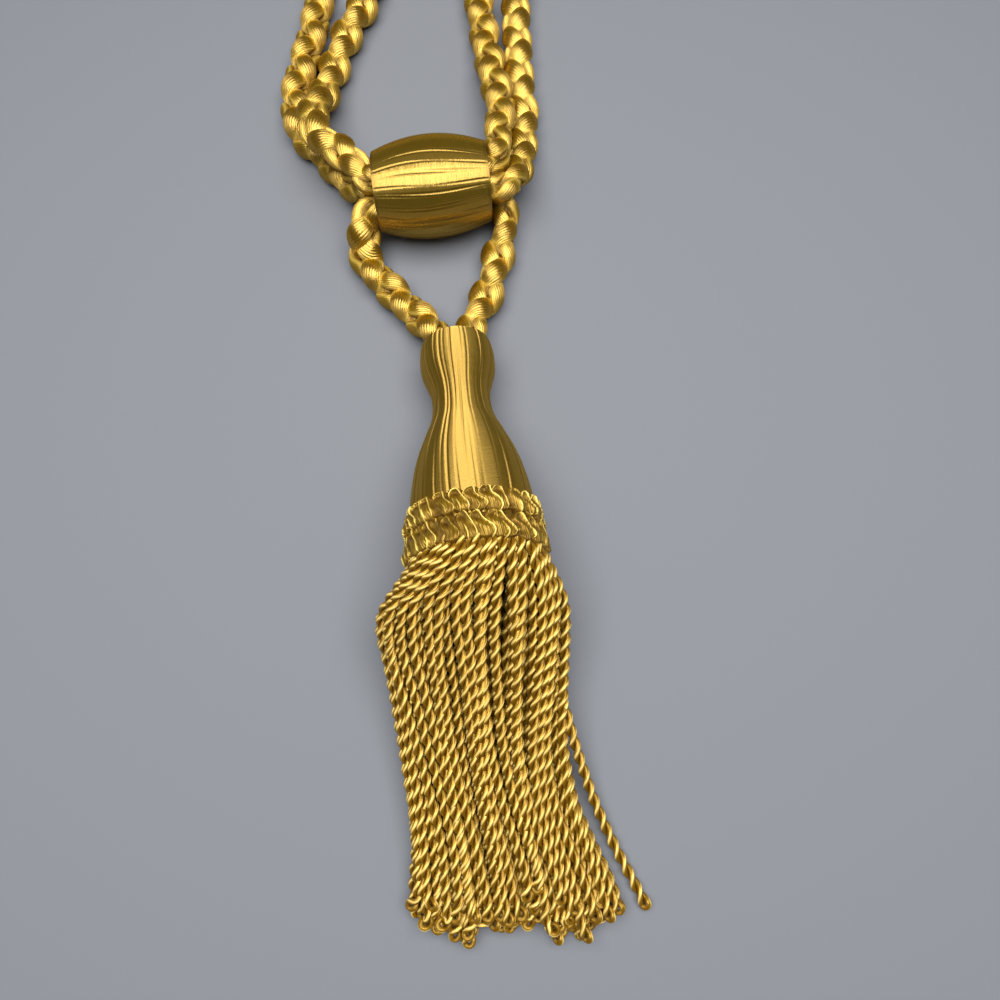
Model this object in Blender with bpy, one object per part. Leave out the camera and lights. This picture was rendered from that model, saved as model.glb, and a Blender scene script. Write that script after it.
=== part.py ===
"""Curtain tieback: a braided satin cord with two end loops, a thread-wound barrel slider on it, and a
tassel with a thread-wound head, a two-row looped ruff and a bullion skirt, lying on a flat surface.

Metres, +Z up.  +X is to the right, +Y runs from the fringe towards the end loops.  The origin is on the
surface, under the middle of the barrel and tassel together.
"""
import math

import bmesh
import bpy
from mathutils import Matrix, Vector

GAP = 0.0003  # clearance between neighbouring pieces

# Cord: one length of round braid, squeezed where it passes through the barrel and into the head.
CORD_DIAMETER = 0.0095
BORE_CORD_DIAMETER = 0.0079
SOCKET_CORD_DIAMETER = 0.0074
CORD_HEIGHT = 0.0049  # centre of the cord where it lies on the surface
STEP_DIAMETERS = 2.9  # longest run between two points of the tube
STEP_TURN = math.radians(24)  # or the turn after which a new point is needed

# Barrel slider: a hollow bead, its axis level, lying on a small flat spot.
BARREL_LENGTH = 0.0346
BARREL_RADIUS = 0.0149
BARREL_END_RADIUS = 0.0119
BARREL_X, BARREL_Y, BARREL_Z = -0.0208, 0.0994, 0.01475
BARREL_TURN = math.radians(6.8)
BARREL_SIDES = 36
STRAND_OFFSET = (BORE_CORD_DIAMETER + GAP) / math.sqrt(3)  # three runs of cord touch in the bore
BORE_RADIUS = STRAND_OFFSET + BORE_CORD_DIAMETER / 2 + GAP

# Tassel: the head's axis starts at its top and dips towards the cords.
HEAD_TOP = (-0.01322, 0.04937, 0.00946)
HEAD_TURN = math.radians(6.3)
HEAD_RISE = math.radians(9.2)
SOCKET_OFFSET = (SOCKET_CORD_DIAMETER + GAP) / 2
SOCKET_RADIUS = SOCKET_OFFSET + SOCKET_CORD_DIAMETER / 2 + GAP
SOCKET_DEPTH = 0.0065
CORD_SEAT = 0.0060  # how far the cord ends go into the socket
CORD_COLLAR = 0.0016  # and how far outside it they stay squeezed

# Distance from the head's top, radius.
HEAD_PROFILE = (
    (0.0000, 0.0092),
    (0.0005, 0.0099),
    (0.0014, 0.0104),
    (0.0040, 0.0109),
    (0.0075, 0.01105),
    (0.0108, 0.0107),
    (0.0137, 0.0098),
    (0.0168, 0.0088),
    (0.0197, 0.00845),
    (0.0230, 0.0086),
    (0.0265, 0.0093),
    (0.0298, 0.0107),
    (0.0330, 0.0120),
    (0.0370, 0.0136),
    (0.0413, 0.0149),
    (0.0460, 0.0159),
    (0.0510, 0.0167),
    (0.0540, 0.0169),
    (0.0623, 0.0169),
)
HEAD_SIDES = 34
LIP_RADIUS = 0.0145  # the head's last stretch, on which the skirt's top band is wound
HEAD_LENGTH = 0.0685
BAND_RADIUS = 0.0169  # outside of the skirt's top band

# Ruff rows: distance of the row's start and end from the head's top, and its greatest radius.
RUFF_INNER = 0.0172
RUFF_LOOPS = 28
RUFF_ROWS = {
    "ruff_upper": (0.0544, 0.0610, 0.0191),
    "ruff_lower": (0.0613, 0.0689, 0.0200),
}
# Share of the row's length, share of its thickness: the rounded back of a loop.
LOOP_SHAPE = ((0.0, 0.30), (0.22, 0.85), (0.5, 1.0), (0.78, 0.85), (1.0, 0.30))
LOOP_VALLEY = 0.55  # thickness between two loops as a share of a loop's
LOOP_REACH = 0.0004  # the valleys stop this much short of the loops at both edges

# Skirt: station along Y, left edge, right edge, top, lean (1 is square to the head, 0 is upright).
SKIRT_ROWS = (
    (-0.0206, -0.0262, 0.0152, 0.0385, 1.0),
    (-0.0255, -0.0312, 0.0178, 0.0368, 0.8),
    (-0.0330, -0.0334, 0.0190, 0.0328, 0.5),
    (-0.0415, -0.0316, 0.0189, 0.0282, 0.3),
    (-0.0520, -0.0293, 0.0185, 0.0230, 0.1),
    (-0.0620, -0.0275, 0.0183, 0.0190, 0.0),
    (-0.0710, -0.0260, 0.0194, 0.0163, 0.0),
    (-0.0800, -0.0245, 0.0216, 0.0142, 0.0),
    (-0.0900, -0.0236, 0.0262, 0.0125, 0.0),
    (-0.1000, -0.0242, 0.0312, 0.0106, 0.0),
    (-0.1143, -0.0225, 0.0330, 0.0078, 0.0),
)
SKIRT_BOTTOM = -0.0004  # trimmed flat at the surface
SKIRT_TEETH = 16
COLUMNS_PER_TOOTH = 3
SKIRT_SPANS = 12  # between the ruff and the fringe's end
TEETH_START = -0.0800  # here the comb's teeth begin to run to their own lengths
NOTCH_DEPTH = 0.0110
FLUTE_DEPTH = (0.0006, 0.0014)  # at the ruff and at the fringe's end
TOP_BOW, BOTTOM_BOW = 0.85, 0.45  # the lower, the squarer the section's edges
TIP_THICKNESS = 0.62  # a tooth's thickness at its tip, as a share of the skirt's there
# Where each tooth ends along Y, from the left edge to the right.
TOOTH_ENDS = (
    -0.1040, -0.1125, -0.1135, -0.1110, -0.1143, -0.1138, -0.1090, -0.1118,
    -0.1128, -0.1110, -0.1130, -0.1143, -0.1105, -0.1130, -0.1095, -0.1060,
)

# The rope that lies astray: its centre from inside the skirt to its free end.
STRAY_DIAMETER = 0.0030
STRAY_POINTS = (
    (0.0150, -0.0480, 0.0130),
    (0.0172, -0.0560, 0.0118),
    (0.0196, -0.0640, 0.0086),
    (0.0222, -0.0715, 0.0058),
    (0.0250, -0.0791, 0.0038),
    (0.0302, -0.0904, 0.0021),
    (0.0351, -0.0994, 0.0017),
    (0.0384, -0.1060, 0.0017),
)


def clear_scene():
    for thing in list(bpy.data.objects):
        bpy.data.objects.remove(thing, do_unlink=True)


def material(name, colour, roughness, metallic=0.0):
    made = bpy.data.materials.new(name)
    made.use_nodes = True
    shader = made.node_tree.nodes["Principled BSDF"]
    shader.inputs["Base Color"].default_value = (*colour, 1.0)
    shader.inputs["Roughness"].default_value = roughness
    shader.inputs["Metallic"].default_value = metallic
    return made


def add_mesh(name, shell, finish):
    """A new object from a bmesh, facing outwards and shaded smooth with sharp edges kept."""
    bmesh.ops.recalc_face_normals(shell, faces=shell.faces)
    mesh = bpy.data.meshes.new(name)
    shell.to_mesh(mesh)
    shell.free()
    mesh.shade_smooth()
    mesh.set_sharp_from_angle(angle=math.radians(35))
    mesh.materials.append(finish)
    thing = bpy.data.objects.new(name, mesh)
    bpy.context.collection.objects.link(thing)
    return thing


def place_on(thing, parent):
    thing.parent = parent
    return thing


def turned(profile, sides, closed):
    """A bmesh spun about Z from a profile of (height, radius) points."""
    shell = bmesh.new()
    corners = [shell.verts.new((radius, 0, height)) for height, radius in profile]
    edges = [shell.edges.new(pair) for pair in zip(corners, corners[1:])]
    if closed:
        edges.append(shell.edges.new((corners[-1], corners[0])))
    bmesh.ops.spin(
        shell, geom=corners + edges, cent=(0, 0, 0), axis=(0, 0, 1),
        angle=math.tau, steps=sides, use_merge=True,
    )
    bmesh.ops.remove_doubles(shell, verts=shell.verts, dist=1e-6)
    return shell


def bridge(shell, first, second):
    """Quads between two closed rings of vertices."""
    for k in range(len(first)):
        after = (k + 1) % len(first)
        shell.faces.new((first[k], first[after], second[after], second[k]))


def make_barrel(finish):
    half = BARREL_LENGTH / 2
    rounding = 0.001
    outside = []
    for step in range(13):
        share = -1 + 2 * step / 12
        bulge = (BARREL_RADIUS - BARREL_END_RADIUS) * (1 - share * share)
        outside.append((share * (half - rounding), BARREL_END_RADIUS + bulge))
    mouth = BARREL_END_RADIUS - rounding
    profile = [(-half, mouth)] + outside + [(half, mouth), (half, BORE_RADIUS), (-half, BORE_RADIUS)]
    barrel = add_mesh("barrel", turned(profile, BARREL_SIDES, closed=True), finish)
    barrel.location = (BARREL_X, BARREL_Y, BARREL_Z)
    barrel.rotation_euler = (0, math.pi / 2, BARREL_TURN)
    return barrel


def make_tassel_frame():
    """An empty at the head's top: its Z runs down the tassel, its X to the right."""
    frame = bpy.data.objects.new("tassel_frame", None)
    bpy.context.collection.objects.link(frame)
    frame.location = HEAD_TOP
    frame.rotation_euler = (math.pi / 2 - HEAD_RISE, 0, HEAD_TURN)
    bpy.context.view_layer.update()
    return frame


def make_head(finish, frame):
    socket = [(SOCKET_DEPTH, 0.0), (SOCKET_DEPTH, SOCKET_RADIUS), (0.0, SOCKET_RADIUS)]
    lip = [(HEAD_PROFILE[-1][0], LIP_RADIUS), (HEAD_LENGTH, LIP_RADIUS), (HEAD_LENGTH, 0.0)]
    outline = socket + list(HEAD_PROFILE) + lip
    head = add_mesh("tassel_head", turned(outline, HEAD_SIDES, closed=False), finish)
    return place_on(head, frame)


def make_ruff_row(name, finish, frame):
    start, end, greatest = RUFF_ROWS[name]
    columns = RUFF_LOOPS * 3
    shell = bmesh.new()
    strips = []
    for k in range(columns):
        angle = math.tau * k / columns
        valley = k % 3 == 0
        strip = []
        for along, share in LOOP_SHAPE:
            edge = LOOP_REACH * (1 - 2 * along) if valley else 0.0
            thickness = (greatest - RUFF_INNER) * share * (LOOP_VALLEY if valley else 1.0)
            strip.append((RUFF_INNER + thickness, start + (end - start) * along + edge))
        edge = LOOP_REACH if valley else 0.0
        strip += [(RUFF_INNER, end - edge), (RUFF_INNER, start + edge)]
        strips.append([
            shell.verts.new((radius * math.cos(angle), radius * math.sin(angle), height))
            for radius, height in strip
        ])
    for k, strip in enumerate(strips):
        bridge(shell, strip, strips[(k + 1) % columns])
    return place_on(add_mesh(name, shell, finish), frame)


def between(rows, station):
    """The values of a table's row at a station, straight between the rows beside it."""
    for before, after in zip(rows, rows[1:]):
        if station >= after[0]:
            break
    share = (station - before[0]) / (after[0] - before[0])
    share = min(max(share, 0.0), 1.0)
    return [a + (b - a) * share for a, b in zip(before[1:], after[1:])]


def column_end(column):
    """Where a column of the skirt ends along Y, and whether it lies in the valley between two teeth.
    Columns count from the right edge over the top to the left edge and back underneath."""
    half = SKIRT_TEETH * COLUMNS_PER_TOOTH
    above = column if column <= half else 2 * half - column
    tooth, place = divmod(above, COLUMNS_PER_TOOTH)
    ends = TOOTH_ENDS[::-1]
    if place:
        return ends[tooth], False
    beside = (ends[max(tooth - 1, 0)], ends[min(tooth, SKIRT_TEETH - 1)])
    return max(beside) + NOTCH_DEPTH, True


def skirt_point(column, columns, share):
    """A point of the skirt's outer surface; share runs from the ruff to the tips."""
    angle = math.tau * column / columns
    end, valley = column_end(column)
    first, last = SKIRT_ROWS[0][0], SKIRT_ROWS[-1][0]
    teeth_share = (TEETH_START - first) / (last - first)
    tip = max(0.0, (share - teeth_share) / (1 - teeth_share))
    station = TEETH_START + (end - TEETH_START) * tip if tip else first + (last - first) * share

    left, right, top, lean = between(SKIRT_ROWS, station)
    centre, half_width = (left + right) / 2, (right - left) / 2
    half_height = (top - SKIRT_BOTTOM) / 2 * (1 - (1 - TIP_THICKNESS) * max(0.0, 4 * tip - 3))
    middle = SKIRT_BOTTOM + half_height
    depth = FLUTE_DEPTH[0] + (FLUTE_DEPTH[1] - FLUTE_DEPTH[0]) * share if valley else 0.0

    rise = math.sin(angle)
    above = rise > 0
    bow = abs(rise) ** (TOP_BOW if above else BOTTOM_BOW)
    x = (half_width - depth) * math.cos(angle)
    z = (half_height - depth) * bow if above else -half_height * bow
    y = station + lean * (z * math.tan(HEAD_RISE) + x * math.tan(HEAD_TURN))
    return Vector((centre + x, y, middle + z))


def make_skirt(finish, frame):
    columns = 2 * SKIRT_TEETH * COLUMNS_PER_TOOTH
    shell = bmesh.new()

    def band_ring(distance, radius):
        ring = []
        for k in range(columns):
            angle = math.tau * k / columns
            place = Vector((radius * math.cos(angle), radius * math.sin(angle), distance))
            ring.append(shell.verts.new(frame.matrix_world @ place))
        return ring

    start, end = HEAD_PROFILE[-1][0] + GAP, HEAD_LENGTH + GAP
    rings = [band_ring(end, LIP_RADIUS + GAP), band_ring(start, LIP_RADIUS + GAP)]
    rings += [band_ring(start, BAND_RADIUS), band_ring(end + GAP, BAND_RADIUS)]
    for row in range(SKIRT_SPANS + 1):
        ring = [skirt_point(k, columns, row / SKIRT_SPANS) for k in range(columns)]
        rings.append([shell.verts.new(point) for point in ring])
    for first, second in zip(rings, rings[1:]):
        bridge(shell, first, second)
    shell.faces.new(rings[0])
    tips = rings[-1]
    for k in range(columns // 2):  # close the comb's edge, top column to bottom column
        corners = [tips[k], tips[k + 1], tips[(columns - k - 1) % columns], tips[(columns - k) % columns]]
        shell.faces.new(list(dict.fromkeys(corners)))
    return add_mesh("skirt", shell, finish)


def tube(name, spots, diameter, resolution, finish):
    """A round tube through (x, y, z, thickness) spots, thickness being a share of the diameter."""
    curve = bpy.data.curves.new(name, "CURVE")
    curve.dimensions = "3D"
    curve.bevel_depth = diameter / 2
    curve.bevel_resolution = resolution
    curve.use_fill_caps = True
    curve.render_resolution_u = 0
    spline = curve.splines.new("POLY")
    spline.points.add(len(spots) - 1)
    for point, (x, y, z, thickness) in zip(spline.points, spots):
        point.co = (x, y, z, 1.0)
        point.radius = thickness
    spline.use_smooth = True
    curve.materials.append(finish)
    thing = bpy.data.objects.new(name, curve)
    bpy.context.collection.objects.link(thing)
    return thing


def join_stray_rope(skirt, finish):
    spots = [(*point, 1.0) for point in STRAY_POINTS]
    rope = tube("stray_rope_shape", spots, STRAY_DIAMETER, 2, finish)
    rope.hide_render = True
    rope.display_type = "WIRE"
    solid = bpy.data.meshes.new_from_object(rope)
    bpy.data.objects.remove(rope)
    rope = bpy.data.objects.new("stray_rope_shape", solid)
    bpy.context.collection.objects.link(rope)
    rope.hide_render = True
    rope.display_type = "WIRE"
    join = skirt.modifiers.new("stray_rope", "BOOLEAN")
    join.operation = "UNION"
    join.object = rope


def in_bore(along, angle):
    """A spot of one run of cord in the barrel: along runs from -1 at its left end to 1 at its right end,
    and the angle turns from the back of the barrel over its top."""
    far = along * BARREL_LENGTH / 2
    back, up = STRAND_OFFSET * math.cos(angle), STRAND_OFFSET * math.sin(angle)
    x = BARREL_X + far * math.cos(BARREL_TURN) - back * math.sin(BARREL_TURN)
    y = BARREL_Y + far * math.sin(BARREL_TURN) + back * math.cos(BARREL_TURN)
    return (x, y, BARREL_Z + up, BORE_CORD_DIAMETER / CORD_DIAMETER)


def in_socket(side, depth, frame):
    """A spot of a cord end in the head's socket: side -1 is left, 1 right."""
    place = frame.matrix_world @ Vector((side * SOCKET_OFFSET, 0, depth))
    return (*place, SOCKET_CORD_DIAMETER / CORD_DIAMETER)


def cord_route(frame):
    """The cord's own points, from one end in the head to the other: x, y, z, thickness."""
    low = CORD_HEIGHT
    left_leg = [
        (-0.0197, 0.0543, 0.0084, 0.92), (-0.0240, 0.0590, 0.0064, 1.0), (-0.0286, 0.0642, low, 1.0),
        (-0.0338, 0.0700, low, 1.0), (-0.0394, 0.0766, low, 1.0), (-0.0420, 0.0812, 0.0053, 1.0),
        (-0.0421, 0.0850, 0.0080, 0.92), (-0.0418, 0.0884, 0.0110, 0.83), (-0.0402, 0.0917, 0.0130, 0.81),
    ]
    outer_right = [
        (-0.0004, 0.0978, 0.0168, 0.82), (0.0036, 0.1003, 0.0161, 0.83), (0.0056, 0.1056, 0.0127, 0.86),
        (0.0066, 0.1130, 0.0090, 0.94), (0.0070, 0.1205, 0.0066, 1.0), (0.0077, 0.1285, 0.0050, 1.0),
        (0.0077, 0.1345, low, 1.0), (0.0067, 0.1461, low, 1.0), (0.0058, 0.1644, low, 1.0),
        (0.0055, 0.1813, low, 1.0),
    ]
    right_eye = [
        (0.0078, 0.2050, low, 1.0), (0.0118, 0.2320, low, 1.0), (0.0172, 0.2620, low, 1.0),
        (0.0236, 0.2920, low, 1.0), (0.0284, 0.3190, low, 1.0), (0.0227, 0.3396, low, 1.0),
        (0.0090, 0.3457, low, 1.0), (-0.0047, 0.3396, low, 1.0), (-0.0104, 0.3190, low, 1.0),
        (-0.0094, 0.2920, low, 1.0), (-0.0084, 0.2620, low, 1.0), (-0.0088, 0.2320, low, 1.0),
        (-0.0087, 0.2050, low, 1.0),
    ]
    inner_right = [
        (-0.0073, 0.1813, low, 1.0), (-0.0048, 0.1623, low, 1.0), (-0.0034, 0.1530, 0.0070, 1.0),
        (-0.0018, 0.1432, 0.0095, 1.0), (0.0000, 0.1335, 0.0114, 1.0), (0.0000, 0.1263, 0.0126, 0.96),
        (-0.0006, 0.1183, 0.0148, 0.90), (-0.0006, 0.1137, 0.0167, 0.84), (-0.0002, 0.1094, 0.0178, 0.82),
        (-0.0020, 0.1060, 0.0176, 0.81),
    ]
    inner_left = [
        (-0.0402, 0.0986, 0.0195, 0.81), (-0.0424, 0.1012, 0.0199, 0.83), (-0.0441, 0.1042, 0.0197, 0.90),
        (-0.0478, 0.1081, 0.0190, 0.96), (-0.0519, 0.1117, 0.0178, 1.0), (-0.0563, 0.1165, 0.0163, 1.0),
        (-0.0591, 0.1240, 0.0148, 1.0), (-0.0589, 0.1324, 0.0110, 1.0), (-0.0574, 0.1430, 0.0065, 1.0),
        (-0.0560, 0.1513, low, 1.0), (-0.0525, 0.1652, low, 1.0), (-0.0464, 0.1813, low, 1.0),
    ]
    left_eye = [
        (-0.0412, 0.2010, low, 1.0), (-0.0384, 0.2250, low, 1.0), (-0.0372, 0.2520, low, 1.0),
        (-0.0360, 0.2820, low, 1.0), (-0.0352, 0.3110, low, 1.0), (-0.0410, 0.3324, low, 1.0),
        (-0.0547, 0.3385, low, 1.0), (-0.0684, 0.3324, low, 1.0), (-0.0742, 0.3110, low, 1.0),
        (-0.0712, 0.2820, low, 1.0), (-0.0666, 0.2520, low, 1.0), (-0.0636, 0.2250, low, 1.0),
        (-0.0619, 0.2030, low, 1.0),
    ]
    outer_left = [
        (-0.0623, 0.1813, low, 1.0), (-0.0647, 0.1623, low, 1.0), (-0.0665, 0.1533, low, 1.0),
        (-0.0679, 0.1437, low, 1.0), (-0.0678, 0.1370, low, 1.0), (-0.0667, 0.1308, low, 1.0),
        (-0.0631, 0.1246, low, 1.0), (-0.0572, 0.1182, low, 1.0), (-0.0510, 0.1106, 0.0058, 1.0),
        (-0.0466, 0.1045, 0.0082, 0.92), (-0.0412, 0.1008, 0.0109, 0.81),
    ]
    right_leg = [
        (-0.0012, 0.1008, 0.0095, 0.81), (0.0013, 0.0975, 0.0079, 0.81), (0.0019, 0.0935, 0.0066, 0.84),
        (0.0014, 0.0890, 0.0053, 0.92), (-0.0002, 0.0835, low, 1.0), (-0.0016, 0.0776, low, 1.0),
        (-0.0028, 0.0710, low, 1.0), (-0.0054, 0.0650, 0.0050, 1.0), (-0.0070, 0.0602, 0.0060, 1.0),
        (-0.0085, 0.0558, 0.0077, 0.92),
    ]

    def through(end, angle_in, angle_out):
        shares = (0.0, 0.3, 0.5, 0.7, 1.0)
        turns = (0.0, 0.15, 0.5, 0.85, 1.0)
        return [
            in_bore(end * (1 - 2 * share), math.radians(angle_in + (angle_out - angle_in) * turn))
            for share, turn in zip(shares, turns)
        ]

    return (
        [in_socket(-1, CORD_SEAT, frame), in_socket(-1, 0.0, frame), in_socket(-1, -CORD_COLLAR, frame)]
        + left_leg + through(-1, 195, 155) + outer_right + right_eye + inner_right
        + through(1, 35, 75) + inner_left + left_eye + outer_left + through(-1, 315, 275) + right_leg
        + [in_socket(1, -CORD_COLLAR, frame), in_socket(1, 0.0, frame), in_socket(1, CORD_SEAT, frame)]
    )


def smooth_curve(spots, per_span=12):
    """A smooth curve through all the spots (a centripetal Catmull-Rom spline)."""
    first, last = Vector(spots[0]), Vector(spots[-1])
    knots = [2 * first - Vector(spots[1])] + [Vector(s) for s in spots] + [2 * last - Vector(spots[-2])]
    curve = []
    for p0, p1, p2, p3 in zip(knots, knots[1:], knots[2:], knots[3:]):
        t1 = math.sqrt((p1.xyz - p0.xyz).length)
        t2 = t1 + math.sqrt((p2.xyz - p1.xyz).length)
        t3 = t2 + math.sqrt((p3.xyz - p2.xyz).length)
        for step in range(per_span):
            t = t1 + (t2 - t1) * step / per_span
            a1 = p0.lerp(p1, t / t1)
            a2 = p1.lerp(p2, (t - t1) / (t2 - t1))
            a3 = p2.lerp(p3, (t - t2) / (t3 - t2))
            b1, b2 = a1.lerp(a2, t / t2), a2.lerp(a3, (t - t1) / (t3 - t1))
            curve.append(b1.lerp(b2, (t - t1) / (t2 - t1)))
    return curve + [last]


def tube_spots(curve):
    """The few points of the smooth curve that the plain tube needs."""
    kept = [curve[0]]
    heading = curve[1].xyz - curve[0].xyz
    for before, here in zip(curve, curve[1:]):
        ahead = here.xyz - before.xyz
        far = (here.xyz - kept[-1].xyz).length
        leaves_socket = before[3] < SOCKET_CORD_DIAMETER / CORD_DIAMETER + 0.002 < here[3]
        if far > STEP_DIAMETERS * CORD_DIAMETER or ahead.angle(heading) > STEP_TURN or leaves_socket:
            kept.append(here)
            heading = ahead
    if (kept[-1].xyz - curve[-1].xyz).length < CORD_DIAMETER / 4:
        kept.pop()
    return kept + [curve[-1]]


def trim_at_surface(pieces):
    """Small flat spots where pieces lie: everything below z = 0 is cut away."""
    bpy.ops.mesh.primitive_cube_add(size=1.0)
    cutter = bpy.context.object
    cutter.name = "surface_cutter"
    cutter.data.transform(Matrix.Diagonal((0.8, 0.8, 0.02, 1.0)))
    cutter.location = (0, 0, -0.01)
    cutter.hide_render = True
    cutter.display_type = "WIRE"
    for piece in pieces:
        cut = piece.modifiers.new("flat_spot", "BOOLEAN")
        cut.operation = "DIFFERENCE"
        cut.object = cutter


def main():
    clear_scene()
    braid = material("braided_satin", (0.62, 0.42, 0.08), 0.38)
    wound = material("wound_thread", (0.50, 0.36, 0.07), 0.34)
    gimp = material("looped_gimp", (0.66, 0.46, 0.08), 0.42)
    bullion = material("bullion_rope", (0.60, 0.38, 0.06), 0.42)

    frame = make_tassel_frame()
    barrel = make_barrel(wound)
    head = make_head(wound, frame)
    ruff = [make_ruff_row(name, gimp, frame) for name in RUFF_ROWS]
    skirt = make_skirt(bullion, frame)
    join_stray_rope(skirt, bullion)
    trim_at_surface([barrel, head, *ruff, skirt])
    tube("cord", tube_spots(smooth_curve(cord_route(frame))), CORD_DIAMETER, 3, braid)


main()
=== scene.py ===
import math

import bpy
import numpy as np
from mathutils import Matrix, Vector


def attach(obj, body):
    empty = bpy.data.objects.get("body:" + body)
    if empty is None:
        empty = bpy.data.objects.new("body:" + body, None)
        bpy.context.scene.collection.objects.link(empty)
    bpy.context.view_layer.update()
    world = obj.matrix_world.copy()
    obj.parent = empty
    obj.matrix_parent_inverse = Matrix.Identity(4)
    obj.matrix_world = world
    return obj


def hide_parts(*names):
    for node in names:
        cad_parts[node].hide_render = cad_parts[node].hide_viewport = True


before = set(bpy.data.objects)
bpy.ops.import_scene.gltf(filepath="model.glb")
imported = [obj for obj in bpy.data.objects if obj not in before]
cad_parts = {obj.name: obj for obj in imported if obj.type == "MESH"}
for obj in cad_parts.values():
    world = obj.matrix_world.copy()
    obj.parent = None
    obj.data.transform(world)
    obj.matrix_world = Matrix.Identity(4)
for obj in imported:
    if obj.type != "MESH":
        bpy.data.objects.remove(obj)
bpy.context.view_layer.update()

mm = 0.001
turn = 2 * math.pi


# Camera, floor and light

view = {
    "lens": 27.04,
    "sensor": 36.0,
    "nearest": 10 * mm,       # nothing closer to the lens than this is drawn
    "place": (0.0, -0.0497, 0.2154),
    "target": (0.0, 0.0040, 0.0),
    "floorSize": 4.0,
    "floorMiddle": (0, 0.1, 0),
    "floorColour": (0.152, 0.159, 0.173, 1.0),
    "floorRoughness": 0.85,
    "floorGloss": 0.15,
    # size, place and power of the two soft panels overhead
    "panels": {
        "strip": ((0.80, 0.52), (0.0, 0.04, 0.62), 10.3),
        "ceiling": ((2.60, 2.20), (0.0, 0.30, 0.80), 4.0),
    },
    "skyColour": (0.80, 0.86, 1.0, 1.0),
    "skyStrength": 0.05,
}


def addCamera():
    camera = bpy.data.objects.new("camera", bpy.data.cameras.new("camera"))
    bpy.context.scene.collection.objects.link(camera)
    camera.data.lens = view["lens"]
    camera.data.sensor_width = view["sensor"]
    camera.data.clip_start = view["nearest"]
    camera.location = view["place"]
    look = Vector(view["target"]) - camera.location
    camera.rotation_euler = look.to_track_quat("-Z", "Y").to_euler()
    bpy.context.scene.camera = camera


def addPanel(name, size, place, power):
    lamp = bpy.data.lights.new(name, "AREA")
    lamp.shape = "RECTANGLE"
    lamp.size, lamp.size_y = size
    lamp.energy = power
    panel = bpy.data.objects.new(name, lamp)
    bpy.context.scene.collection.objects.link(panel)
    panel.location = place


def addFloorAndLight():
    bpy.ops.mesh.primitive_plane_add(size=view["floorSize"], location=view["floorMiddle"])
    floor = bpy.context.object
    floor.name = "floor"
    finish, shader, _ = newFinish("paleFloor")
    shader.inputs["Base Color"].default_value = view["floorColour"]
    shader.inputs["Roughness"].default_value = view["floorRoughness"]
    shader.inputs["Specular IOR Level"].default_value = view["floorGloss"]
    floor.data.materials.append(finish)
    for name, (size, place, power) in view["panels"].items():
        addPanel(name, size, place, power)
    world = bpy.data.worlds.new("sky")
    bpy.context.scene.world = world
    world.use_nodes = True
    sky = world.node_tree.nodes["Background"]
    sky.inputs["Color"].default_value = view["skyColour"]
    sky.inputs["Strength"].default_value = view["skyStrength"]
    bpy.context.scene.view_settings.view_transform = "Standard"
    print("camera, floor and light done")


def newFinish(name):
    finish = bpy.data.materials.new(name)
    finish.use_nodes = True
    tree = finish.node_tree
    return finish, tree.nodes["Principled BSDF"], tree


def addNode(tree, kind, inputs=(), **settings):
    node = tree.nodes.new("ShaderNode" + kind)
    for key, value in settings.items():
        setattr(node, key, value)
    for key, value in dict(inputs).items():
        if isinstance(value, bpy.types.NodeSocket):
            tree.links.new(value, node.inputs[key])
        else:
            node.inputs[key].default_value = value
    return node


def calculate(tree, operation, *values):
    return addNode(tree, "Math", dict(enumerate(values)), operation=operation).outputs[0]


def rampOf(tree, factor, stops):
    ramp = addNode(tree, "ValToRGB", {"Fac": factor})
    points = ramp.color_ramp.elements
    while len(points) < len(stops):
        points.new(0.5)
    for point, (place, colour) in zip(points, stops):
        point.position = place
        point.color = (*colour, 1.0)
    return ramp.outputs["Color"]


# Satin thread, the same for all the pieces. What differs is in each piece's own "look":
# ridges are the threads: how many to the millimetre across U and V, and their height in millimetres;
# streaks and blotches are noise, scaled across U and V; tones are colours by the crest level, which paint
# shade in the hollows and creases, and on some pieces a highlight on the crests.
# The UV map is in millimetres: U runs around a strand, V along it.
satin = {
    "streakDetail": 3.0, "blotchDetail": 2.0, "blotchShift": 7.3,
    "roughnessSpread": 0.28,
    "creaseBelow": 0.5,       # the sides of creases lower than this on a strand are duller
    "gloss": 1.0, "glossTint": (1.0, 0.65, 0.16, 1.0),
    "sheen": 0.02, "sheenRoughness": 0.4, "sheenTint": (1.0, 0.85, 0.45, 1.0),
}


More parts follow.
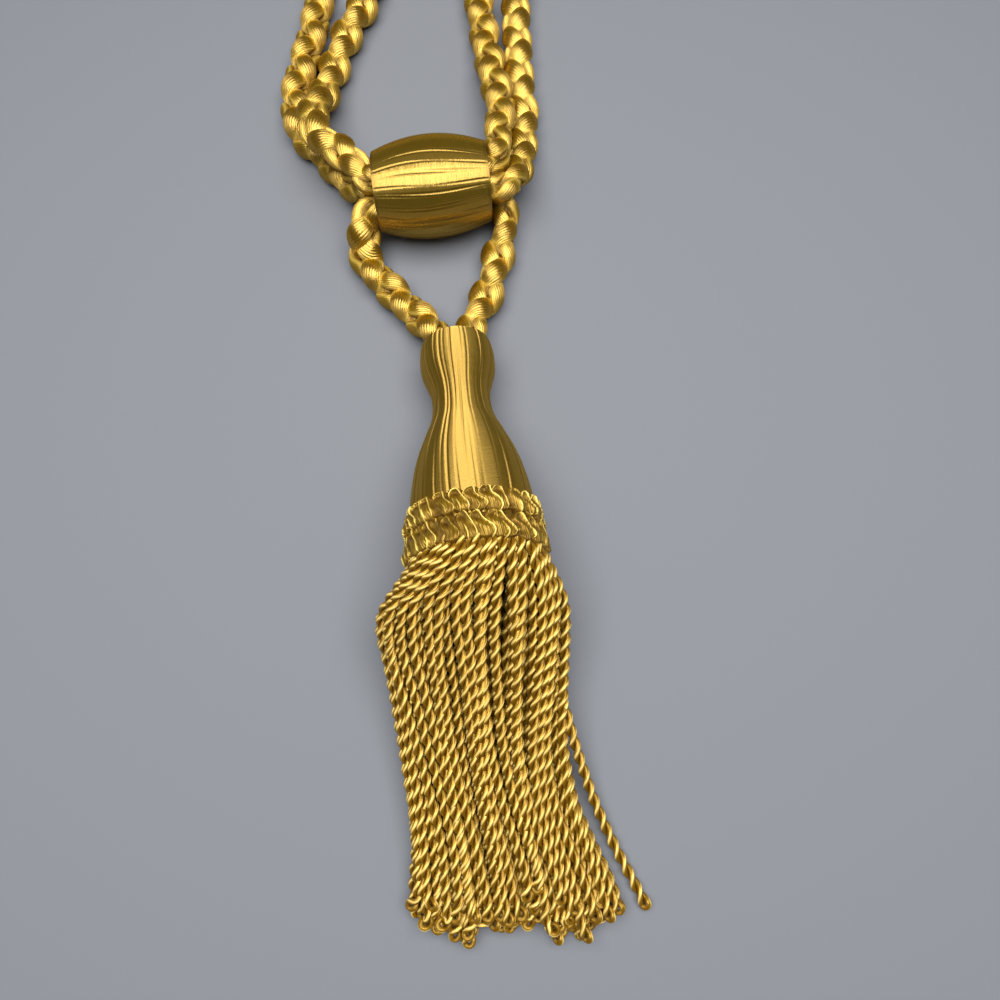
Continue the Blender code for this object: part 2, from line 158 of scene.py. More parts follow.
def satinFinish(name, look):
    finish, shader, tree = newFinish(name)
    uv = addNode(tree, "UVMap", uv_map="thread").outputs["UV"]
    split = addNode(tree, "SeparateXYZ", {0: uv})
    u, v = split.outputs[0], split.outputs[1]

    def stretched(scaleU, scaleV, detail, shift=0.0):
        place = addNode(tree, "CombineXYZ", {
            0: calculate(tree, "MULTIPLY", u, scaleU),
            1: calculate(tree, "MULTIPLY", v, scaleV),
            2: shift,
        }).outputs[0]
        noise = addNode(tree, "TexNoise", {"Vector": place, "Scale": 1.0, "Detail": detail})
        return noise.outputs["Fac"]

    streak = stretched(*look["streaks"], satin["streakDetail"])
    blotch = stretched(*look["blotches"], satin["blotchDetail"], satin["blotchShift"])
    perU, perV, height = look["ridges"]
    wobble = calculate(tree, "MULTIPLY", calculate(tree, "SUBTRACT", blotch, 0.5), look["wobble"])
    phase = calculate(tree, "MULTIPLY_ADD", u, perU, calculate(tree, "MULTIPLY", v, perV))
    phase = calculate(tree, "MULTIPLY", calculate(tree, "ADD", phase, wobble), turn)
    ridge = calculate(tree, "MULTIPLY_ADD", calculate(tree, "SINE", phase), 0.5, 0.5)
    crest = calculate(tree, "SQRT", ridge)

    tone = calculate(tree, "ADD", calculate(tree, "MULTIPLY", streak, look["streakShare"]),
                     calculate(tree, "MULTIPLY", blotch, 1 - look["streakShare"]))
    # painted light: each mesh's crest level picks the colour from the tones, pale where a highlight is
    # painted and dark where shade is painted
    paintedLightLevel = addNode(tree, "Attribute", attribute_name="crest").outputs["Fac"]
    patchy = calculate(tree, "MULTIPLY", calculate(tree, "SUBTRACT", tone, 0.5), look["patchy"])
    colour = rampOf(tree, calculate(tree, "ADD", paintedLightLevel, patchy), look["tones"])
    # painted shade: the colour is mixed toward a dark colour in the grooves between the threads
    groove = calculate(tree, "MULTIPLY_ADD", crest, look["grooveShade"], 1 - look["grooveShade"])
    # sockets 6 and 7 are the Mix node's two colours
    grooveShadeColour = (*look["grooveShadeColour"], 1.0)
    shaded = addNode(tree, "Mix", {0: groove, 6: grooveShadeColour, 7: colour}, data_type="RGBA")
    tree.links.new(shaded.outputs[2], shader.inputs["Base Color"])

    sunk = calculate(tree, "SUBTRACT", satin["creaseBelow"], paintedLightLevel)
    sunk = calculate(tree, "MAXIMUM", sunk, 0.0)
    spread = satin["roughnessSpread"]
    rough = calculate(tree, "MULTIPLY_ADD", streak, spread, look["roughness"] - spread / 2)
    rough = calculate(tree, "ADD", rough, sunk)
    tree.links.new(rough, shader.inputs["Roughness"])
    first = addNode(tree, "Bump", {"Height": crest, "Distance": height * mm, "Strength": 1.0})
    second = addNode(tree, "Bump", {
        "Height": streak, "Distance": look["fuzz"] * mm, "Strength": 1.0, "Normal": first.outputs[0],
    })
    tree.links.new(second.outputs[0], shader.inputs["Normal"])
    tangent = addNode(tree, "Tangent", direction_type="UV_MAP", uv_map="thread")
    tree.links.new(tangent.outputs[0], shader.inputs["Tangent"])
    shader.inputs["Anisotropic"].default_value = look["anisotropy"]
    shader.inputs["Anisotropic Rotation"].default_value = look["grain"]
    shader.inputs["Metallic"].default_value = look["metallic"]
    shader.inputs["IOR"].default_value = look["shine"]
    shader.inputs["Specular IOR Level"].default_value = satin["gloss"]
    shader.inputs["Specular Tint"].default_value = satin["glossTint"]
    shader.inputs["Sheen Weight"].default_value = satin["sheen"]
    shader.inputs["Sheen Roughness"].default_value = satin["sheenRoughness"]
    shader.inputs["Sheen Tint"].default_value = satin["sheenTint"]
    return finish


# One mesh from tubes, each given as (rings, where U starts, where V starts, how far U goes around,
# crest, the level that picks the painted light and shade in the colour). Rings are an array
# (rings, around, 3) of places, and V is measured along their centres.
def ringMesh(name, tubes, finish, closed=False):
    places, quads, caps, uvs, crests = [], [], [], [], []
    start = 0
    for rings, uShift, vShift, girth, crest in tubes:
        count, around = rings.shape[:2]
        index = start + np.arange(count * around).reshape(count, around)
        if closed:
            index = np.vstack([index, index[:1]])
        beside = np.roll(index, -1, axis=1)
        quad = np.stack([index[:-1], beside[:-1], beside[1:], index[1:]], axis=-1).reshape(-1, 4)
        middle = rings.mean(axis=1)
        if closed:
            middle = np.vstack([middle, middle[:1]])
        far = lengthsAlong(middle) / mm + vShift
        u = np.arange(around) / around * girth + uShift
        uNext = (np.arange(around) + 1) / around * girth + uShift
        uGrid = np.broadcast_to(u, (len(index) - 1, around))
        uGridNext = np.broadcast_to(uNext, (len(index) - 1, around))
        low = np.broadcast_to(far[:-1, None], uGrid.shape)
        high = np.broadcast_to(far[1:, None], uGrid.shape)
        uv = np.stack([
            np.stack([uGrid, low], -1), np.stack([uGridNext, low], -1),
            np.stack([uGridNext, high], -1), np.stack([uGrid, high], -1),
        ], axis=2).reshape(-1, 2)
        places.append(rings.reshape(-1, 3))
        crests.append(np.broadcast_to(crest, (count, around)).ravel())
        quads.append(quad)
        uvs.append(uv)
        if not closed:
            caps.append(index[0][::-1])
            caps.append(index[-1])
        start += count * around
    places = np.concatenate(places)
    faces = np.concatenate(quads).tolist() + [cap.tolist() for cap in caps]
    capUvs = [np.zeros((len(cap), 2)) for cap in caps]
    uvs = np.concatenate(uvs + capUvs)
    mesh = bpy.data.meshes.new(name)
    mesh.from_pydata(places.tolist(), [], faces)
    layer = mesh.uv_layers.new(name="thread")
    layer.data.foreach_set("uv", uvs.astype(np.float32).ravel())
    heights = mesh.attributes.new("crest", "FLOAT", "POINT")
    heights.data.foreach_set("value", np.concatenate(crests).astype(np.float32))
    mesh.shade_smooth()
    mesh.materials.append(finish)
    piece = bpy.data.objects.new(name, mesh)
    bpy.context.scene.collection.objects.link(piece)
    return piece


def unit(vectors):
    return vectors / np.maximum(np.linalg.norm(vectors, axis=-1, keepdims=True), 1e-12)


# Two directions square to the line at each point, carried along it without twisting.
def carriedFrames(points):
    ahead = unit(np.gradient(points, axis=0))
    side = np.zeros_like(points)
    side[0] = unit(np.cross(ahead[0], (0.0, 0.0, 1.0) if abs(ahead[0][2]) < 0.9 else (1.0, 0.0, 0.0)))
    for k in range(1, len(points)):
        side[k] = side[k - 1] - ahead[k] * np.dot(side[k - 1], ahead[k])
        side[k] /= np.linalg.norm(side[k])
    return ahead, side, np.cross(ahead, side)


# An oval tube: outward is the direction of its thin way at each point.
def ovalRings(points, outward, halfWidth, halfThick, around):
    ahead = unit(np.gradient(points, axis=0))
    out = unit(outward - ahead * np.sum(outward * ahead, axis=1, keepdims=True))
    side = np.cross(out, ahead)
    angle = np.arange(around) / around * turn
    wide = np.broadcast_to(halfWidth, len(points))[:, None, None]
    thick = np.broadcast_to(halfThick, len(points))[:, None, None]
    across = wide * np.cos(angle)[None, :, None] * side[:, None, :]
    return points[:, None, :] + across + thick * np.sin(angle)[None, :, None] * out[:, None, :]


# A smooth curve through spots of any number of columns (a centripetal Catmull-Rom spline).
def smoothLine(spots, perSpan=12):
    spots = np.array(spots, float)
    knots = np.vstack([2 * spots[0] - spots[1], spots, 2 * spots[-1] - spots[-2]])
    line = []
    for p0, p1, p2, p3 in zip(knots, knots[1:], knots[2:], knots[3:]):
        t1 = math.sqrt(np.linalg.norm((p1 - p0)[:3]))
        t2 = t1 + math.sqrt(np.linalg.norm((p2 - p1)[:3]))
        t3 = t2 + math.sqrt(np.linalg.norm((p3 - p2)[:3]))
        t = (t1 + (t2 - t1) * np.arange(perSpan) / perSpan)[:, None]
        a1 = p0 + (p1 - p0) * t / t1
        a2 = p1 + (p2 - p1) * (t - t1) / (t2 - t1)
        a3 = p2 + (p3 - p2) * (t - t2) / (t3 - t2)
        b1 = a1 + (a2 - a1) * t / t2
        b2 = a2 + (a3 - a2) * (t - t1) / (t3 - t1)
        line.append(b1 + (b2 - b1) * (t - t1) / (t2 - t1))
    return np.vstack(line + [spots[-1:]])


def lengthsAlong(line):
    steps = np.linalg.norm(np.diff(line[:, :3], axis=0), axis=1)
    return np.concatenate([[0.0], np.cumsum(steps)])


# The same line with its points evenly apart.
def evenLine(line, step):
    far = lengthsAlong(line)
    count = max(2, round(far[-1] / step) + 1)
    at = np.linspace(0, far[-1], count)
    return np.stack([np.interp(at, far, column) for column in line.T], axis=1)


# The cord

cord = {
    "diameter": 9.5 * mm,
    "length": 1.284,
    "low": 4.9 * mm,          # height of its middle where it lies flat
    "turnLength": 27.5 * mm,  # length in which a strand goes once around
    "ringsPerTurn": 30,
    "around": 16,
    "ringRadius": 0.215,      # of a strand's mean path, as a share of the diameter
    "swing": 0.100,           # how far a strand dips in and out
    "halfWidth": 0.300,
    "halfThick": 0.215,
    "swell": 0.22,            # how much plumper a strand is where it lies on top
    # uneven braiding and uneven plumpness: how much, over what length, where it starts
    "drift": ((0.25, 0.031, 0.0), (0.2, 0.0173, 1.0)),
    "lump": (0.05, 0.0137, 1.7),
    # the crest, the level of the painted light, starts this far out, reaches its full height over this, and
    # is lower underneath: painted shade nearer the cord's middle and on each strand's inner side
    "crestStart": 0.45, "crestSpan": 0.5, "innerShadeLevel": 0.62,
    "girth": 15.0,            # around a strand, in the UV map's millimetres
    "strandShift": 61.0,      # so that no two strands have the same streaks
    "look": {
        "ridges": (1.4, 0.0, 0.11), "wobble": 0.7, "streaks": (3.0, 0.12), "blotches": (0.35, 0.12),
        "streakShare": 0.6, "patchy": 0.35, "roughness": 0.32, "fuzz": 0.09, "anisotropy": 1.0, "grain": 0.0,
        "metallic": 0.1, "shine": 2.6, "grooveShade": 0.3, "grooveShadeColour": (0.06, 0.03, 0.001),
        # tones paint the hollows between strands dark as shade, a pale band towards each strand's rim as
        # highlight, and the lobes' tops darker again as a painted dark reflection
        "tones": (
            (0.0, (0.032, 0.014, 0.0005)), (0.35, (0.11, 0.056, 0.0012)), (0.60, (0.62, 0.42, 0.07)),
            (0.74, (0.22, 0.13, 0.006)), (0.92, (0.105, 0.052, 0.0010)),
        ),
    },
}


# A spot in the barrel's bore: along goes from -1 at its left mouth to 1 at its right one.
def inBore(along, angle):
    far = along * barrel["length"] / 2
    back = barrel["strandOffset"] * math.cos(angle)
    up = barrel["strandOffset"] * math.sin(angle)
    x, y, z = barrel["middle"]
    c, s = math.cos(barrel["turned"]), math.sin(barrel["turned"])
    return (x + far * c - back * s, y + far * s + back * c, z + up, barrel["strandShare"])


# A spot in the head's socket, or above it where depth is negative.
def inSocket(side, depth):
    return (*fromHead([(side * head["socketOffset"], 0, depth)])[0], head["socketShare"])


# The whole cord from the head, through the barrel, around both end loops and back into the head.
# Each spot is a place and how thick the cord is there, as a share of its diameter.
def cordRoute():
    low = cord["low"]
    leftLeg = [
        (-0.0197, 0.0543, 0.0084, 0.92), (-0.0240, 0.0590, 0.0064, 1.0), (-0.0286, 0.0642, low, 1.0),
        (-0.0338, 0.0700, low, 1.0), (-0.0394, 0.0766, low, 1.0), (-0.0421, 0.0812, 0.0053, 1.03),
        (-0.0422, 0.0850, 0.0076, 1.12), (-0.0420, 0.0884, 0.0104, 1.08), (-0.0404, 0.0917, 0.0128, 0.86),
    ]
    outerRight = [
        (-0.0004, 0.0978, 0.0168, 0.82), (0.0036, 0.1003, 0.0161, 0.83), (0.0056, 0.1056, 0.0127, 0.86),
        (0.0066, 0.1130, 0.0090, 0.94), (0.0070, 0.1205, 0.0066, 1.0), (0.0077, 0.1285, 0.0050, 1.0),
        (0.0077, 0.1345, low, 1.0), (0.0067, 0.1461, low, 1.0), (0.0058, 0.1644, low, 1.0),
        (0.0055, 0.1813, low, 1.0),
    ]
    rightEye = [
        (0.0078, 0.2050, low, 1.0), (0.0118, 0.2320, low, 1.0), (0.0172, 0.2620, low, 1.0),
        (0.0236, 0.2920, low, 1.0), (0.0284, 0.3190, low, 1.0), (0.0227, 0.3396, low, 1.0),
        (0.0090, 0.3457, low, 1.0), (-0.0047, 0.3396, low, 1.0), (-0.0104, 0.3190, low, 1.0),
        (-0.0094, 0.2920, low, 1.0), (-0.0084, 0.2620, low, 1.0), (-0.0088, 0.2320, low, 1.0),
        (-0.0087, 0.2050, low, 1.0),
    ]
    innerRight = [
        (-0.0073, 0.1813, low, 1.0), (-0.0048, 0.1623, low, 1.0), (-0.0034, 0.1530, 0.0070, 1.0),
        (-0.0018, 0.1432, 0.0095, 1.0), (0.0000, 0.1335, 0.0114, 1.0), (0.0000, 0.1263, 0.0126, 0.96),
        (-0.0006, 0.1183, 0.0148, 0.90), (-0.0006, 0.1137, 0.0167, 0.84), (-0.0002, 0.1094, 0.0178, 0.82),
        (-0.0020, 0.1060, 0.0176, 0.81),
    ]
    innerLeft = [
        (-0.0402, 0.0986, 0.0195, 0.81), (-0.0424, 0.1012, 0.0199, 0.83), (-0.0441, 0.1042, 0.0197, 0.90),
        (-0.0478, 0.1081, 0.0190, 0.96), (-0.0519, 0.1117, 0.0178, 1.0), (-0.0563, 0.1165, 0.0163, 1.0),
        (-0.0591, 0.1240, 0.0148, 1.0), (-0.0589, 0.1324, 0.0110, 1.0), (-0.0574, 0.1430, 0.0065, 1.0),
        (-0.0560, 0.1513, low, 1.0), (-0.0525, 0.1652, low, 1.0), (-0.0464, 0.1813, low, 1.0),
    ]
    leftEye = [
        (-0.0412, 0.2010, low, 1.0), (-0.0384, 0.2250, low, 1.0), (-0.0372, 0.2520, low, 1.0),
        (-0.0360, 0.2820, low, 1.0), (-0.0352, 0.3110, low, 1.0), (-0.0410, 0.3324, low, 1.0),
        (-0.0547, 0.3385, low, 1.0), (-0.0684, 0.3324, low, 1.0), (-0.0742, 0.3110, low, 1.0),
        (-0.0712, 0.2820, low, 1.0), (-0.0666, 0.2520, low, 1.0), (-0.0636, 0.2250, low, 1.0),
        (-0.0619, 0.2030, low, 1.0),
    ]
    outerLeft = [
        (-0.0623, 0.1813, low, 1.0), (-0.0647, 0.1623, low, 1.0), (-0.0665, 0.1533, low, 1.0),
        (-0.0679, 0.1437, low, 1.0), (-0.0678, 0.1370, low, 1.0), (-0.0667, 0.1308, low, 1.0),
        (-0.0631, 0.1246, low, 1.0), (-0.0572, 0.1182, low, 1.0), (-0.0510, 0.1106, 0.0058, 1.0),
        (-0.0466, 0.1045, 0.0082, 0.92), (-0.0412, 0.1008, 0.0109, 0.81),
    ]
    rightLeg = [
        (-0.0012, 0.1008, 0.0095, 0.81), (0.0013, 0.0975, 0.0079, 0.81), (0.0019, 0.0935, 0.0066, 0.84),
        (0.0014, 0.0890, 0.0053, 0.92), (-0.0002, 0.0835, low, 1.0), (-0.0016, 0.0776, low, 1.0),
        (-0.0028, 0.0710, low, 1.0), (-0.0054, 0.0650, 0.0050, 1.0), (-0.0070, 0.0602, 0.0060, 1.0),
        (-0.0085, 0.0558, 0.0077, 0.92),
    ]

    # one run through the bore from this end: its angle about the bore's axis, in degrees, turns
    def through(end, angleIn, angleOut):
        shares = (0.0, 0.3, 0.5, 0.7, 1.0)
        turns = (0.0, 0.15, 0.5, 0.85, 1.0)
        return [
            inBore(end * (1 - 2 * share), math.radians(angleIn + (angleOut - angleIn) * part))
            for share, part in zip(shares, turns)
        ]

    return (
        [inSocket(-1, head["seat"]), inSocket(-1, 0.0), inSocket(-1, -head["collar"])]
        + leftLeg + through(-1, 195, 155) + outerRight + rightEye + innerRight
        + through(1, 35, 75) + innerLeft + leftEye + outerLeft + through(-1, 315, 275) + rightLeg
        + [inSocket(1, -head["collar"]), inSocket(1, 0.0), inSocket(1, head["seat"])]
    )


# Four fat strands braided round: two run one way about the middle, two the other way, and at each
# crossing they change places, one over and one under.
def makeCord(finish):
    line = evenLine(smoothLine(cordRoute()), cord["turnLength"] / cord["ringsPerTurn"])
    middle, share = line[:, :3], line[:, 3]
    _, side, up = carriedFrames(middle)
    far = lengthsAlong(line)
    drift = sum(much * np.sin(far / length + start) for much, length, start in cord["drift"])
    lump, lumpLength, lumpShift = cord["lump"]
    phase = far / cord["turnLength"] * turn + drift
    size = cord["diameter"] * share
    top = np.clip(np.sin(np.arange(cord["around"]) / cord["around"] * turn), 0, 1)
    below = cord["innerShadeLevel"]
    tubes = []
    for strand in range(4):
        way = 1 if strand < 2 else -1
        angle = way * phase + math.pi * (strand % 2) + math.pi / 4
        dip = way * np.cos(2 * phase)
        plump = cord["swell"] * dip + lump * np.sin(far / lumpLength + strand * lumpShift)
        wide = cord["halfWidth"] * size * (1 + plump)
        thick = cord["halfThick"] * size * (1 + plump)
        radius = size * (cord["ringRadius"] + cord["swing"] * dip)
        outward = side * np.cos(angle)[:, None] + up * np.sin(angle)[:, None]
        path = middle + outward * radius[:, None]
        rings = onSurface(ovalRings(path, outward, wide, thick, cord["around"]))
        # painted light: the colour level is low near the cord's middle (painted shade between the strands),
        # rises towards each strand's rim, and stays lower on the strand's inner side and where it passes
        # under the others (painted shade)
        reach = np.linalg.norm(rings - middle[:, None, :], axis=-1) / (0.5 * size[:, None])
        crest = np.clip((reach - cord["crestStart"]) / cord["crestSpan"], 0, 1)
        crest = crest * (below + (1 - below) * top * (0.5 + 0.5 * dip)[:, None])
        tubes.append((rings, 0.0, cord["strandShift"] * strand, cord["girth"], crest))
    piece = ringMesh("cord_braid", tubes, finish)
    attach(piece, "root")
    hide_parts("cord")
    print("cord done: %.3f m" % far[-1])


# The thread-wound pieces: this look is theirs in common, and each one's own look changes a part of it

woundLook = {
    "ridges": (0.0, 2.2, 0.05), "wobble": 0.12, "streaks": (0.30, 1.6), "blotches": (0.5, 0.35),
    "streakShare": 0.6, "patchy": 0.5, "roughness": 0.42, "fuzz": 0.06, "anisotropy": 1.0, "grain": 0.25,
    "metallic": 0.1, "shine": 2.6, "grooveShade": 0.2, "grooveShadeColour": (0.05, 0.026, 0.001),
    # tones by the crest level: the dark end is the painted shade in the creases and recesses
    "tones": ((0.0, (0.010, 0.005, 0.0002)), (0.45, (0.070, 0.040, 0.001)), (0.8, (0.110, 0.070, 0.004))),
}


# The thread is wound over uneven lengthwise padding, so the section has flats of uneven width, and a
# crease at some of its corners. All of them waver along the piece: how much, how often along it, and
# how differently from their neighbours.
winding = {
    "unevenFlats": 0.36, "cornerWaver": (0.03, 5.0, 3.0), "heightWaver": (0.5, 4.0, 7.0),
    "creaseLeast": 0.6, "creaseWaver": (0.4, 6.0, 2.4),
    # painted light: crest is the wound body's colour level, creaseShade the painted shade in its creases,
    # and plainCrest the darker level of the mouths, bore, socket and lip under the bell, painted shade at
    # these openings and recesses
    "crest": 0.62, "creaseShade": 0.6, "plainCrest": 0.3,
}


def woundRings(look, far, radius):
    chance = np.random.default_rng(look["seed"])
    count = look["facets"]
    uneven = winding["unevenFlats"]
    corners = (np.arange(count) + chance.uniform(-uneven, uneven, count)) / count * turn
    heights = chance.uniform(-1.0, 1.0, count) * look["facetHeight"]
    depths = chance.uniform(0.0, 1.0, count) ** 0.5 * look["creaseDepth"]
    angle = np.arange(look["around"]) / look["around"] * turn

    def waver(kind, share, apart):
        much, often, shift = winding[kind]
        return much * np.sin(share * often + apart * shift)

    rings, crests = [], []
    for place, base in zip(far, radius):
        share = (place - far[0]) / (far[-1] - far[0])
        shifted = corners + waver("cornerWaver", share, corners)
        reach = base + heights * (1 + waver("heightWaver", share, corners)) * base / radius.max()
        turned = (angle - shifted[0]) % turn + shifted[0]
        slot = np.searchsorted(shifted, turned, side="right") - 1
        after = (slot + 1) % count
        start, end = shifted[slot], shifted[after] + turn * (after == 0)
        first, second = reach[slot], reach[after]
        flat = first * second * np.sin(end - start) / (
            first * np.sin(turned - start) + second * np.sin(end - turned)
        )
        gap = (angle[None, :] - shifted[:, None] + math.pi) % turn - math.pi
        depth = depths * (winding["creaseLeast"] + waver("creaseWaver", share, np.arange(count)))
        crease = (depth[:, None] * np.exp(-(gap * base / look["creaseWidth"]) ** 2)).sum(axis=0)
        rounded = np.interp(turned, np.append(shifted, shifted[0] + turn), np.append(reach, reach[0]))
        flat = rounded + (flat - rounded) * look["flatShare"] - crease
        rings.append(np.stack([flat * np.cos(angle), flat * np.sin(angle), np.full(len(angle), place)], -1))
        # painted shade: the colour darkens in each crease by its depth
        shade = np.clip(crease / look["creaseDepth"], 0, 1)
        crests.append(winding["crest"] - winding["creaseShade"] * shade)
    return np.array(rings), np.array(crests)


# Round rings at spots of (distance along, radius).
def plainRings(around, spots):
    angle = np.arange(around) / around * turn
    return np.stack([
        np.stack([radius * np.cos(angle), radius * np.sin(angle), np.full(around, far)], -1)
        for far, radius in spots
    ])


# Thread that would go below the surface lies flat on it.
def onSurface(rings):
    rings[..., 2] = np.maximum(rings[..., 2], 0.0)
    return rings


barrel = {
    "length": 34.6 * mm, "radius": 14.9 * mm, "endRadius": 11.9 * mm,
    "middle": (-0.0208, 0.0994, 0.01475), "turned": math.radians(6.8),
    "strandOffset": 4.734 * mm, "strandShare": 0.832, "boreRadius": 8.98 * mm, "mouthRound": 1.2 * mm,
    "lip": (0.25, 0.7),       # where the mouth's rounding bends, as shares of mouthRound
    "around": 440, "rings": 60, "boreRings": 6, "girth": turn * 14.0,
    "facets": 46, "facetHeight": 0.08 * mm, "flatShare": 0.7, "seed": 5,
    "creaseDepth": 0.20 * mm, "creaseWidth": 0.25 * mm,
    "look": {"fuzz": 0.12, "shine": 2.75},
}


def makeBarrel(finish):
    half = barrel["length"] / 2
    inset = barrel["mouthRound"]
    share = np.linspace(-1, 1, barrel["rings"])
    radius = barrel["endRadius"] + (barrel["radius"] - barrel["endRadius"]) * (1 - share ** 2)
    body, level = woundRings(barrel, share * (half - inset), radius)
    mouth = barrel["endRadius"] - inset
    bore = barrel["boreRadius"]
    back, out = barrel["lip"]
    lipFar, lipRadius = half - back * inset, mouth + out * inset
    left = plainRings(barrel["around"], [(-half, bore), (-half, mouth), (-lipFar, lipRadius)])
    right = plainRings(barrel["around"], [(lipFar, lipRadius), (half, mouth), (half, bore)])
    boreFar = np.linspace(half, -half, barrel["boreRings"] + 2)[1:-1]
    inside = plainRings(barrel["around"], [(far, bore) for far in boreFar])
    rings = np.concatenate([left, body, right, inside])
    # painted shade: the mouths and the bore take the darker plainCrest level
    crest = np.full(rings.shape[:2], winding["plainCrest"])
    crest[len(left):len(left) + len(body)] = level
    lying = Matrix.Rotation(barrel["turned"], 4, "Z") @ Matrix.Rotation(math.pi / 2, 4, "Y")
    place = np.array(Matrix.Translation(barrel["middle"]) @ lying)
    rings = onSurface(rings @ place[:3, :3].T + place[:3, 3])
    piece = ringMesh("barrel_wound", [(rings, 0.0, 0.0, barrel["girth"], crest)], finish, closed=True)
    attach(piece, "root")
    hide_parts("barrel")
    print("barrel done")


head = {
    "top": (-0.01322, 0.04937, 0.00946), "turned": math.radians(6.3), "rise": math.radians(9.2),
    "socketOffset": 3.85 * mm, "socketShare": 0.779, "socketRadius": 7.85 * mm,
    "socketDepth": 6.5 * mm, "seat": 6.0 * mm, "collar": 1.6 * mm, "bellEnd": 62.3 * mm,
    # the socket's floor, walls and edge, from its depth and radius; the lip under the bell
    "floorShare": 0.4, "wallShare": 0.5, "edge": 0.4 * mm, "lip": (5 * mm, 14.5 * mm),
    "around": 500, "rings": 110, "girth": turn * 13.0, "threadShift": 400.0,
    "facets": 40, "facetHeight": 0.14 * mm, "flatShare": 0.7, "seed": 11,
    "creaseDepth": 0.34 * mm, "creaseWidth": 0.30 * mm,
    "look": {"roughness": 0.58, "shine": 3.2},
    # distance from the top, radius, in millimetres
    "profile": (
        (0.0, 9.2), (0.5, 9.9), (1.4, 10.4), (4.0, 10.9), (7.5, 11.05), (10.8, 10.7), (13.7, 9.8),
        (16.8, 8.8), (19.7, 8.45), (23.0, 8.6), (26.5, 9.3), (29.8, 10.7), (33.0, 12.0), (37.0, 13.6),
        (41.3, 14.9), (46.0, 15.9), (51.0, 16.7), (54.0, 16.9), (62.3, 16.9),
    ),
}
headLying = Matrix.Rotation(head["turned"], 4, "Z") @ Matrix.Rotation(math.pi / 2 - head["rise"], 4, "X")
headFrame = np.array(Matrix.Translation(head["top"]) @ headLying)


# Points given in the head's frame (X right, Y up, Z down the tassel) in world places.
def fromHead(points):
    points = np.asarray(points, float)
    return points @ headFrame[:3, :3].T + headFrame[:3, 3]


def makeHead(finish):
    table = np.array(head["profile"]) * mm
    smooth = smoothLine(np.column_stack([table, np.zeros(len(table))]), perSpan=8)
    far = np.linspace(0, head["bellEnd"], head["rings"])
    radius = np.interp(far, smooth[:, 0], smooth[:, 1])
    depth, wide = head["socketDepth"], head["socketRadius"]
    socket = plainRings(head["around"], [
        (depth, head["floorShare"] * wide), (depth, wide), (head["wallShare"] * depth, wide),
        (head["edge"], wide),
    ])
    lipFar, lipRadius = head["lip"]
    lip = plainRings(head["around"], [(head["bellEnd"] + lipFar, lipRadius)])
    body, level = woundRings(head, far, radius)
    rings = np.concatenate([socket, body, lip])
    # painted shade: the socket and the lip under the bell take the darker plainCrest level
    crest = np.full(rings.shape[:2], winding["plainCrest"])
    crest[len(socket):len(socket) + len(body)] = level
    rings = onSurface(fromHead(rings))
    piece = ringMesh("head_wound", [(rings, 0.0, head["threadShift"], head["girth"], crest)], finish)
    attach(piece, "root")
    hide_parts("tassel_head")
    print("head done")


# The ruff: two rows of plump loops, each with a raised edge, painted pale as highlight, that arches over a
# hollow painted dark as shade

ruff = {
    "loops": 28, "perLoop": 24, "rings": 40, "girth": turn * 19.0, "threadShift": 10.0, "seed": 4,
    # start and end from the head's top, floor radius at both in millimetres, share of arch
    "rows": {"ruff_upper": (54.2, 61.6, 16.9, 17.6, 1.0), "ruff_lower": (60.6, 69.0, 17.3, 18.1, 0.45)},
    "inner": 16.8 * mm, "plump": 1.5 * mm, "edge": 0.8 * mm, "hollow": 1.5 * mm, "scallop": 1.0 * mm,
    # drawn for each loop: how far it may be off its place, or the least and the most
    "offCentre": 0.22, "offRow": 0.07, "slant": (0.0, 0.36), "swing": (0.05, 0.30),
    "plumpShare": (0.7, 1.15), "edgeShare": (0.5, 1.2), "hollowShare": (0.3, 1.0),
    "foldShares": (0.0, 0.0, 0.6, 0.9),
    # shapes in a loop: across it goes from -0.5 to 0.5, and down the row from 0 to 1
    "body": (0.56, 0.7, 0.45),       # half width, roundness across and down
    "rim": (0.42, 0.40, 0.45),       # half width, height of the arch, where it is widest
    "edgeWidth": 0.13, "edgeReach": 0.8,
    "edgeSide": (-0.05, 0.06),       # it lies right of this, and fades over this
    "edgeTop": (0.30, 0.05),         # or above this
    "fold": (-0.1, 0.055, 0.45, 0.2),  # where across, half width, where it starts down, how soon
    "pit": (0.02, 0.20, 0.25, 0.15),   # where across, half width, where down, half height
    "closing": 0.06,                 # how soon the row's cut edges turn in
    # slow unevenness and the fine ripple of threads, in millimetres, with their waves
    "uneven": 0.2, "unevenWaves": (2.3, 7.0, 0.71, 4.0), "ripple": 0.07, "rippleWave": (3.5, 5.0, 2),
    # levels of the painted light: plain for the loops' bodies, edge the painted highlight on the raised
    # edges, and pit, valley and ripple the painted shade in the pits, between the loops and in the ripple's
    # troughs
    "shades": {"plain": 0.56, "edge": 0.5, "pit": 0.5, "valley": 0.45, "ripple": 0.06},
    "look": {
        "ridges": (1.6, 0.4, 0.08), "wobble": 0.6, "streaks": (2.0, 0.4), "blotches": (0.5, 0.35),
        "streakShare": 0.5, "patchy": 0.4, "roughness": 0.40, "fuzz": 0.06, "anisotropy": 0.6, "grain": 0.0,
        "metallic": 0.1, "shine": 1.75, "grooveShade": 0.3, "grooveShadeColour": (0.06, 0.03, 0.001),
        # the palest tone is the painted highlight on the raised edges, the darkest the painted shade in the
        # pits and valleys
        "tones": (
            (0.0, (0.022, 0.007, 0.0002)), (0.35, (0.085, 0.040, 0.0008)), (0.66, (0.16, 0.095, 0.004)),
            (0.88, (0.80, 0.60, 0.15)),
        ),
    },
}


